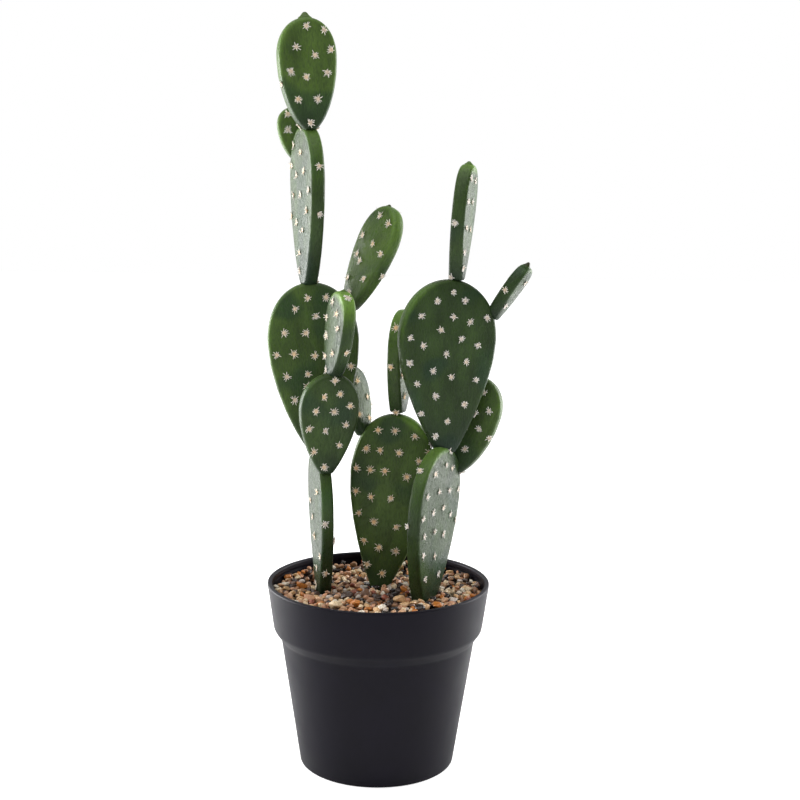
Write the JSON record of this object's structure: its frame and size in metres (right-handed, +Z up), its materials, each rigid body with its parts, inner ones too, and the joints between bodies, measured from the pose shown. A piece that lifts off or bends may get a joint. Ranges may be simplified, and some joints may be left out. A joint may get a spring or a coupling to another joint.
{
  "type": "potted paddle cactus",
  "caption": "Paddle cactus with flat oval pads growing from one another in upright stems, in a round tapered pot with a rim band and a gravel top dressing.",
  "frame": {"origin": "centre of the pot's flat underside, where it rests", "axes": "+Z up along the pot's axis, -Y towards the viewer of the front, +X to the viewer's right"},
  "size_m": [0.1773, 0.15, 0.4991],
  "materials": {
    "pot_plastic": "satin",
    "potting_soil": "matte",
    "mixed_gravel": "satin",
    "pale_stone": "satin",
    "amber_stone": "satin",
    "dark_stone": "satin",
    "root": "matte",
    "cactus_skin": "satin",
    "spine": "matte"
  },
  "bodies": {
    "root": {"pot": "pot_plastic", "soil": "potting_soil", "gravel_bed": "mixed_gravel", "top_stone_01": "pale_stone", "top_stone_02": "amber_stone", "top_stone_03": "pale_stone", "top_stone_04": "pale_stone", "top_stone_05": "dark_stone", "top_stone_06": "amber_stone", "top_stone_07": "pale_stone", "top_stone_08": "amber_stone", "top_stone_09": "dark_stone", "top_stone_10": "dark_stone", "top_stone_11": "amber_stone", "top_stone_12": "amber_stone", "left_root": "root", "middle_root": "root", "right_root": "root", "left_base_pad": "cactus_skin", "left_front_pad": "cactus_skin", "left_front_tip_pad": "cactus_skin", "left_middle_pad": "cactus_skin", "left_side_pad": "cactus_skin", "left_upper_pad": "cactus_skin", "left_bud_pad": "cactus_skin", "left_top_pad": "cactus_skin", "middle_base_pad": "cactus_skin", "middle_side_pad": "cactus_skin", "middle_top_pad": "cactus_skin", "right_base_pad": "cactus_skin", "right_side_pad": "cactus_skin", "right_middle_pad": "cactus_skin", "right_bud_pad": "cactus_skin", "right_top_pad": "cactus_skin"}
  },
  "joints": []
}
